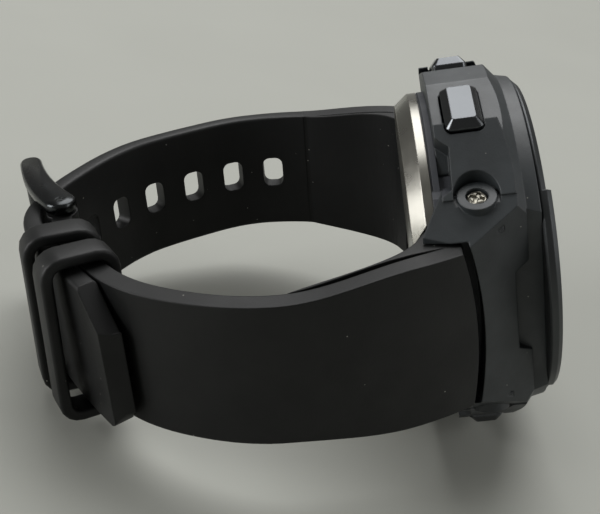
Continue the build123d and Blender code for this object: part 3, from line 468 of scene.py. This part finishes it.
# Mineral glass: clear with a faint cool tint, smeared in patches some millimetres wide
glass_material, tree, shader, place = start_material("mineral_glass")
for key, value in {"Base Color": linear("F4F7F5"), "IOR": 1.52,
                   "Transmission Weight": 1.0}.items():
    shader.inputs[key].default_value = value
smear = add(tree, "ShaderNodeTexNoise", {"Vector": place, "Scale": 0.15, "Detail": 5.0,
                                         "Roughness": 0.6})
film_of_grease = add(tree, "ShaderNodeMapRange", {"Value": smear.outputs["Fac"],
                                                  "From Min": 0.45, "From Max": 0.75,
                                                  "To Min": 0.01, "To Max": 0.06})
tree.links.new(film_of_grease.outputs["Result"], shader.inputs["Roughness"])
dress(glass_material, "glass")

# The front ring: the cover round the glass, with two raised panels that stay bare. It is turned
# to shape and lacquered a dark metallic grey before it goes over the neck of the case.

# Metallic lacquer: satin dark grey with turned lines drawn 0.35 mm apart
dress(metal("lacquered_ring", "4A4C4D", 0.45, 0.35, 0.006, turned=True, rounding=0.25),
      "front_ring")

# The bezel: a shell of black polyurethane resin, moulded with a fine matt texture; it is pulled
# over the case and held at each lug by a cross-head screw.

# Polyurethane resin, matt moulded: black with a grey bloom on worn faces, grain 0.3 mm
bezel_resin = resin("polyurethane_bezel", "24282A", "34383A", 0.48, 0.3, 0.03, dust=0.3,
                    rounding=0.25)
dress(bezel_resin, "bezel")
four_corners = ((1, 1), (1, -1), (-1, 1), (-1, -1))

# Small fills close the corners where the room for the lug ears opens through the hoods
fill_sides = (12.0, 13.2)
fill_profile = ((20.2, 10.3), (21.423, 10.3), (20.929, 11.25), (20.2, 11.25))
bm = bmesh.new()
for side_3, side_12 in four_corners:
    prism(bm, [[bm.verts.new(on_dial(a * side_3, b * side_12, h)) for b, h in fill_profile]
               for a in fill_sides])
hood_corner_fills = piece_of(bm, "hood_corner_fills")
hood_corner_fills.data.materials.append(bezel_resin)
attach(hood_corner_fills, "case")

# The bezel screws stand on the facets at the lugs, aslant, beside the middle of each facet
facet_angle, screw_angle = 44, 18
facet_distance, screw_beside, screw_level, screw_sink = 24.6, 2.1, 8.4, 0.95
screw_stands = []
for side_3, side_12 in four_corners:
    facet, way = (radians(angle * side_12 if side_3 > 0 else 180 - angle * side_12)
                  for angle in (facet_angle, screw_angle))
    out, axis = (three * cos(turn) + twelve * sin(turn) for turn in (facet, way))
    beside = dial_out.cross(out) * (screw_beside * side_3 * side_12)
    spot = out * facet_distance + beside + dial_out * screw_level - axis * screw_sink
    screw_stands.append((spot / 1000, axis))
# Nickel-plated steel, a little worn: warm silver grey, lines 0.4 mm apart
screws("bezel_screw_heads", screw_stands, "bezel_screws", "case", head=1.36, height=0.75,
       cross=(1.9, 0.46, 0.7), material=metal("nickel_plated_screw", "8C897F", 0.34, 0.4, 0.002))

# The push buttons: milled steel heads on turned stems, black nickel plated. Each is pushed into
# its bore from outside and held by a clip on the inner end of its stem.

button_angles = {"2": 20, "4": -20, "8": 200, "10": 160}
# Black nickel plating: dark mirror-like grey with wear lines 0.25 mm apart
plating = metal("black_nickel_plating", "56585A", 0.2, 0.25, 0.002, rounding=0.25)
dress(plating, *["button_" + hour for hour in button_angles])

# The button springs and clips: coils and rings of drawn steel wire, wound or stamped and slipped
# on the stems. The coils are drawn again as copies of the solid springs.

for hour, angle in button_angles.items():
    dress(spring_wire, "spring_" + hour, "clip_" + hour)
    solid = nodes["spring_" + hour]
    coil_mesh = solid.data.copy()
    coil_mesh.transform(solid.matrix_world)
    coil = bpy.data.objects.new("drawn_spring_" + hour, coil_mesh)
    bpy.context.scene.collection.objects.link(coil)
    way = three * cos(radians(angle)) + twelve * sin(radians(angle))
    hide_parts("spring_" + hour)
    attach(coil, "case")
    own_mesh(coil)

# The strap halves: moulded polyurethane resin, matt black, with lint and dust caught on them, on
# sprung steel pins in the lugs. The hole half is drawn again here, with its holes where the worn
# one has them and softer corners.

dress(steel_bright, "lug_pins")
strap_flex = 4.8
strap_base = 0.0056
strap_turn = Matrix.Rotation(radians(strap_flex), 3, "Y")
strap_x, strap_z = strap_turn @ dial_out, strap_turn @ three
strap_axes = Matrix((strap_x, Vector((0, 1, 0)), strap_z)).transposed().to_4x4()
strap_place = Matrix.Translation(dial_out * strap_base) @ strap_axes
in_strap = strap_place.inverted() @ nodes["hole_strap"].matrix_world
join_x = -0.0216
section_level = 0.004
stations = 200
tail_trim = 0.0007

# Side view of the strap: the section of the solid strap between its holes and its edge
bm = bmesh.new()
bm.from_mesh(nodes["hole_strap"].data)
bm.transform(in_strap)
bmesh.ops.remove_doubles(bm, verts=bm.verts, dist=1e-6)
root = bm.copy()
bmesh.ops.bisect_plane(bm, geom=bm.verts[:] + bm.edges[:] + bm.faces[:],
                       plane_co=(0, 0, section_level), plane_no=(0, 0, 1),
                       clear_inner=True, clear_outer=True)
bmesh.ops.remove_doubles(bm, verts=bm.verts, dist=1e-5)
loop, vert = [], min(bm.verts, key=lambda v: v.co.y)
while vert and vert not in loop:
    loop.append(vert)
    vert = next((e.other_vert(vert) for e in vert.link_edges if e.other_vert(vert) not in loop),
                None)
side_view = [Vector((v.co.x, v.co.y)) for v in loop]
bm.free()
if side_view[1].y > side_view[-1].y:
    outer_run, inner_run = side_view, side_view[::-1]
else:
    outer_run, inner_run = side_view[::-1], side_view


def running_lengths(points):
    """Length along a line of points, from its start to each of them."""
    lengths = [0.0]
    for first, second in zip(points, points[1:]):
        lengths.append(lengths[-1] + (second - first).length)
    return lengths


def even_run(points):
    """Even steps along an edge of the side view, from the join to a little before the tip."""
    cut = next(i for i, point in enumerate(points) if point.x > join_x)
    before, after = points[cut - 1], points[cut]
    kept = points[:cut] + [before.lerp(after, (join_x - before.x) / (after.x - before.x))]
    lengths = running_lengths(kept)
    made = []
    for number in range(stations + 1):
        want = lengths[-1] - (lengths[-1] - tail_trim) * number / stations
        at = max(i for i in range(len(kept) - 1) if lengths[i] <= want)
        share = (want - lengths[at]) / (lengths[at + 1] - lengths[at])
        made.append(kept[at].lerp(kept[at + 1], share))
    return made


def oblong(length, width, corner, steps=4):
    """Outline of a rounded rectangle, with some steps in each corner."""
    outline = []
    for side_x, side_y, start in ((1, 1, 0), (-1, 1, 90), (-1, -1, 180), (1, -1, 270)):
        for step in range(steps + 1):
            turn = radians(start + 90 / steps * step)
            outline.append((side_x * (length / 2 - corner) + corner * cos(turn),
                            side_y * (width / 2 - corner) + corner * sin(turn)))
    return outline


# The band: rounded sections along the strap, which widens and rounds off away from the join
widening_start, widening_length = 0.023, 0.017
root_half_width, widening = 0.010, 0.0017
edge_round, least_round, rounding_stations = 0.0005, 0.00002, 20
outer_edge, inner_edge = even_run(outer_run), even_run(inner_run[1:])
bm = bmesh.new()
rings = []
for number, (outer, inner) in enumerate(zip(outer_edge, inner_edge)):
    middle, out = (outer + inner) / 2, (outer - inner) / 2
    thick = out.length
    out.normalize()
    widen = min(max((middle.x + widening_start) / widening_length, 0.0), 1.0)
    high = root_half_width + widening * widen * widen * (3 - 2 * widen)
    soft = edge_round * min(number / rounding_stations, 1.0) + least_round
    rings.append([bm.verts.new((middle.x + out.x * u, middle.y + out.y * u, z))
                  for u, z in oblong(thick * 2, high * 2, soft, steps=3)])
skin(bm, rings)
bm.faces.new(rings[0])
bm.faces.new(rings[-1])
drawn_strap = piece_of(bm, "drawn_hole_strap")

# Cutters: nine oblong holes along the middle, the tongue's slanting way and two trimmed corners
hole_length, hole_width, hole_corner = 0.0034, 0.0052, 0.0012
first_hole, hole_pitch, hole_count = 0.0060, 0.0075, 9
cutter_depth = 0.003
tongue_way_half_length, tongue_way_half_width, tongue_way_depth = 0.0085, 0.0010, 0.0017
pin_spot, tongue_spot = Vector((-0.05518, -0.0040)), Vector((-0.06537, 0.00966))
upper_corner = [(0.0, 0.0045), (-0.0045, 0.0100), (-0.0045, 0.0120), (0.003, 0.0120),
                (0.003, 0.0045)]
lower_corner = [(0.0, -0.0078), (-0.0006, -0.0091), (-0.0021, -0.0100), (-0.0021, -0.0120),
                (0.003, -0.0120), (0.003, -0.0078)]
middles = [(outer + inner) / 2 for outer, inner in zip(outer_edge, inner_edge)]
runs = running_lengths(middles)


def block(bm, outline, depth, place):
    """A straight cutter of an outline, its depth across its plane on both sides."""
    prism(bm, [[bm.verts.new(place @ Vector((x, y, level))) for x, y in outline]
               for level in (-depth, depth)])


def across_strap(run):
    """Place on the strap at a run from the join: x along it, y up it and z through it."""
    at = min(max(i for i, length in enumerate(runs) if length <= run), len(runs) - 2)
    along = (middles[at + 1] - middles[at]).normalized()
    spot = middles[at] + along * (run - runs[at])
    return Matrix(((along.x, 0, along.y, spot.x), (along.y, 0, -along.x, spot.y),
                   (0, 1, 0, 0), (0, 0, 0, 1)))


def cut_out(piece, cutter):
    """Cuts a cutter out of a piece for good."""
    cut = piece.modifiers.new("cut", "BOOLEAN")
    cut.operation, cut.solver, cut.object, cut.use_self = "DIFFERENCE", "EXACT", cutter, True
    settle(piece)
    bpy.data.objects.remove(cutter)


def soften(mesh, crisp_from):
    """Smooth shading, with edges left crisp from an angle in degrees up."""
    for face in mesh.polygons:
        face.use_smooth = True
    mesh.set_sharp_from_angle(angle=radians(crisp_from))


bm = bmesh.new()
for number in range(hole_count):
    block(bm, oblong(hole_length, hole_width, hole_corner), cutter_depth,
          across_strap(first_hole + hole_pitch * number))
along = (tongue_spot - pin_spot).normalized()
middle = (pin_spot + tongue_spot) / 2
block(bm, [(x * tongue_way_half_length, y * tongue_way_half_width)
           for x, y in ((-1, -1), (1, -1), (1, 1), (-1, 1))], tongue_way_depth,
      Matrix(((along.x, -along.y, 0, middle.x), (along.y, along.x, 0, middle.y),
              (0, 0, 1, 0), (0, 0, 0, 1))))
tip = across_strap(runs[-1])
block(bm, upper_corner, cutter_depth, tip)
block(bm, lower_corner, cutter_depth, tip)
cut_out(drawn_strap, piece_of(bm, "strap_cutter"))
soften(drawn_strap.data, 35)

# The thick end near the case keeps the solid's own shape up to the join
bmesh.ops.bisect_plane(root, geom=root.verts[:] + root.edges[:] + root.faces[:],
                       plane_co=(join_x, 0, 0), plane_no=(-1, 0, 0), clear_outer=True)
for face in root.faces:
    face.smooth = False
root.from_mesh(drawn_strap.data)
root.transform(strap_place)
root.to_mesh(drawn_strap.data)
root.free()
# Polyurethane resin strap: soft black with a low sheen, grain 0.35 mm
strap_resin = resin("polyurethane_strap", "070808", "0D0E0E", 0.52, 0.35, 0.03, dust=0.35,
                    sheen=0.35, rounding=0.3)
dress(strap_resin, "hole_strap", "buckle_strap", "tip_keeper", "pin_keeper")
drawn_strap.data.materials.clear()
drawn_strap.data.materials.append(strap_resin)
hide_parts("hole_strap")
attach(drawn_strap, "case")

# The keepers: two loops of the same resin as the strap, moulded whole. They are stretched over
# both layers of the strap, so they are rounded all over and sit a little askew.

loop_depth, loop_height, loop_corner = 0.0089, 0.0230, 0.0022
bar_thickness, bar_width, bar_corner, bar_crown = 0.0016, 0.0043, 0.00045, 0.0001
keeper_tilt = 3.0


def keeper(name, node, body, spot, out_angle):
    """One loop: a rounded bar swept round a rounded rectangle."""
    bm = bmesh.new()
    out = Vector((cos(radians(out_angle)), sin(radians(out_angle)), 0))
    along = Vector((out.y, -out.x, 0))
    askew = Matrix.Rotation(radians(keeper_tilt), 4, along)
    path = oblong(loop_depth, loop_height, loop_corner)
    rings = []
    for i, (x, y) in enumerate(path):
        before, after = Vector(path[i - 1]), Vector(path[(i + 1) % len(path)])
        edge = (after - before).normalized()
        normal = Vector((edge.y, -edge.x))
        ring = []
        for u, v in oblong(bar_thickness, bar_width, bar_corner):
            at = Vector((x, y)) + normal * (u + bar_crown * (1 - (v / (bar_width / 2)) ** 2))
            askew_at = askew @ (out * at.x + Vector((0, 0, at.y)) + along * v)
            ring.append(bm.verts.new(strap_place @ (askew_at + spot)))
        rings.append(ring)
    skin(bm, rings + rings[:1])
    loop = piece_of(bm, name)
    soften(loop.data, 50)
    loop.data.materials.append(strap_resin)
    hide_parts(node)
    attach(loop, body)


keeper("drawn_tip_keeper", "tip_keeper", "tip_keeper_body", Vector((-0.04984, -0.0202, 0)), 211)
keeper("drawn_pin_keeper", "pin_keeper", "pin_keeper_body", Vector((-0.05356, -0.0138, 0)), 204)

# The buckle: stamped steel frame and tongue, black plated, on a turned steel pin. The frame is
# drawn again: its arms are bowed over the wrist, rounded along their edges and eased at the bar.

# Black-plated steel: gunmetal sheen, brushed lines 0.2 mm apart
gunmetal = metal("black_plated_steel", "3C3E3F", 0.24, 0.2, 0.003, rounding=0.35)
dress(gunmetal, "buckle_frame", "buckle_tongue", "buckle_pin")

frame_angle, frame_out_angle, frame_length, arm_bow = 119.3, 209.3, 0.0169, 0.0016
arm_half_height, arm_taper, arm_edge_round = 0.0022, 0.0006, 0.0003
arm_inside, arm_outside = 0.0103, 0.0120
arm_steps, end_steps = 24, 8
bar_radius, bar_half_length, bar_sides = 0.0015, 0.0104, 24
pin_hole_radius, pin_hole_level, pin_hole_depth, pin_hole_sides = 0.00055, 0.0113, 0.0015, 16

bar_spot = pin_spot + Vector((cos(radians(frame_angle)), sin(radians(frame_angle)))) * frame_length
frame_out = Vector((cos(radians(frame_out_angle)), sin(radians(frame_out_angle))))
bow = (pin_spot + bar_spot) / 2 + frame_out * arm_bow
bm = bmesh.new()
arm_middles, arm_halves = [], []
for number in range(arm_steps + 1):
    share = number / arm_steps
    arm_middles.append(pin_spot * (1 - share) ** 2 + bow * 2 * share * (1 - share)
                       + bar_spot * share ** 2)
    arm_halves.append(arm_half_height - arm_taper * share)
outline = []
for side, order in ((1, range(arm_steps + 1)), (-1, range(arm_steps, -1, -1))):
    for number in order:
        along = (arm_middles[min(number + 1, arm_steps)]
                 - arm_middles[max(number - 1, 0)]).normalized()
        outline.append(arm_middles[number]
                       + Vector((-along.y, along.x)) * side * arm_halves[number])
    last = arm_steps if side == 1 else 0
    end, size = arm_middles[last], arm_halves[last]
    heading = ((bar_spot if side == 1 else pin_spot) - bow).normalized()
    across = Vector((-heading.y, heading.x))
    for step in range(1, end_steps):
        turn = pi * step / end_steps
        outline.append(end + across * cos(turn) * size + heading * sin(turn) * size)
centre = sum(outline, Vector((0, 0))) / len(outline)
for low, high in ((arm_inside, arm_outside), (-arm_outside, -arm_inside)):
    rings = []
    for level, inset in ((low, arm_edge_round), (low + arm_edge_round, 0.0),
                         (high - arm_edge_round, 0.0), (high, arm_edge_round)):
        ring = []
        for i, spot in enumerate(outline):
            edge = outline[(i + 1) % len(outline)] - outline[i - 1]
            inward = Vector((-edge.y, edge.x)).normalized() * inset
            if (spot + inward - centre).length > (spot - centre).length:
                inward = -inward
            ring.append(bm.verts.new(strap_place @ Vector((spot.x + inward.x, spot.y + inward.y,
                                                           level))))
        rings.append(ring)
    skin(bm, rings)
    bm.faces.new(rings[0])
    bm.faces.new(rings[-1])
bar_rings = [[bm.verts.new(strap_place @ Vector((bar_spot.x + bar_radius * cos(2 * pi * i / bar_sides),
                                                 bar_spot.y + bar_radius * sin(2 * pi * i / bar_sides),
                                                 level))) for i in range(bar_sides)]
             for level in (-bar_half_length, bar_half_length)]
skin(bm, bar_rings)
bm.faces.new(bar_rings[0])
bm.faces.new(bar_rings[1])
drawn_frame = piece_of(bm, "drawn_buckle_frame")
soften(drawn_frame.data, 50)
drawn_frame.data.materials.append(gunmetal)

# The pin's holes through both arms
bm = bmesh.new()
pin_hole = [(pin_hole_radius * cos(2 * pi * i / pin_hole_sides),
             pin_hole_radius * sin(2 * pi * i / pin_hole_sides)) for i in range(pin_hole_sides)]
for level in (-pin_hole_level, pin_hole_level):
    block(bm, pin_hole, pin_hole_depth,
          strap_place @ Matrix.Translation((pin_spot.x, pin_spot.y, level)))
cut_out(drawn_frame, piece_of(bm, "pin_holes"))
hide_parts("buckle_frame")
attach(drawn_frame, "buckle")

# The table: a matt pale board that fills the view, its grey drifting slowly over half a hand's
# width. It carries the watch and its shadow, and is no part of the watch.

floor_size = 3.0
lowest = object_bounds()[0][2]
floor = bpy.data.objects.new("table_top", bpy.data.meshes.new("table_top"))
floor.data.from_pydata([(x * floor_size, y * floor_size, lowest)
                        for x, y in ((-1, -1), (1, -1), (1, 1), (-1, 1))], [], [(0, 1, 2, 3)])
bpy.context.scene.collection.objects.link(floor)
# Matt painted board: pale neutral grey, drifting in tone about every 50 mm
board, tree, shader, place = start_material("matt_board")
tone = add(tree, "ShaderNodeTexNoise", {"Vector": place, "Scale": 0.02, "Detail": 2.0})
tint = add(tree, "ShaderNodeMix", {0: tone.outputs["Fac"], 6: linear("999A93"),
                                   7: linear("9E9F98")}, data_type="RGBA")
tree.links.new(tint.outputs[2], shader.inputs["Base Color"])
shader.inputs["Roughness"].default_value = 0.7
floor.data.materials.append(board)

# The lamps: three soft boxes, a large one overhead and a small one on each side, in a dim even
# room. The camera sees the room beyond the table as pale as the table itself.

for name, place, size, power, aim in (
    ("overhead_softbox", (0.0, 0.5, 0.85), 0.9, 10.5, (0, 0, 0)),
    ("left_softbox", (-0.55, -0.14, 0.18), 0.3, 2.4, (-0.03, 0, 0)),
    ("right_softbox", (0.55, -0.12, 0.3), 0.4, 1.1, (0, 0, 0)),
):
    lamp = bpy.data.objects.new(name, bpy.data.lights.new(name, "AREA"))
    lamp.data.shape = "SQUARE"
    lamp.data.size = size
    lamp.data.energy = power
    lamp.location = place
    lamp.rotation_euler = (Vector(aim) - Vector(place)).to_track_quat("-Z", "Y").to_euler()
    bpy.context.scene.collection.objects.link(lamp)

world = bpy.data.worlds.new("room")
world.use_nodes = True
tree = world.node_tree
tree.nodes.clear()
ray = add(tree, "ShaderNodeLightPath")
room = add(tree, "ShaderNodeBackground", {"Color": linear("E4E4E0"), "Strength": 0.2})
seen = add(tree, "ShaderNodeBackground", {"Color": linear("A6A79F"), "Strength": 1.0})
choice = add(tree, "ShaderNodeMixShader", {0: ray.outputs["Is Camera Ray"],
                                           1: room.outputs["Background"],
                                           2: seen.outputs["Background"]})
add(tree, "ShaderNodeOutputWorld", {"Surface": choice.outputs["Shader"]})
bpy.context.scene.world = world
bpy.context.scene.view_settings.view_transform = "Standard"

# The camera: held by hand above the near side of the strap, a little tilted. Its place and its
# turn come from matching the watch's outlines in the photograph.

camera_place = (-0.022817, -0.127369, 0.065669)
camera_bearing, camera_elevation, camera_roll = -3.101, 28.756, 9.891
camera = bpy.data.objects.new("camera", bpy.data.cameras.new("camera"))
camera.data.sensor_width = 36.0
camera.data.lens = 58.32
camera.data.clip_start = 0.005
camera.data.clip_end = 20.0
camera.matrix_world = (Matrix.Translation(camera_place)
                       @ Matrix.Rotation(radians(camera_bearing), 4, "Z")
                       @ Matrix.Rotation(radians(90 - camera_elevation), 4, "X")
                       @ Matrix.Rotation(radians(camera_roll), 4, "Z"))
bpy.context.scene.collection.objects.link(camera)
bpy.context.scene.camera = camera
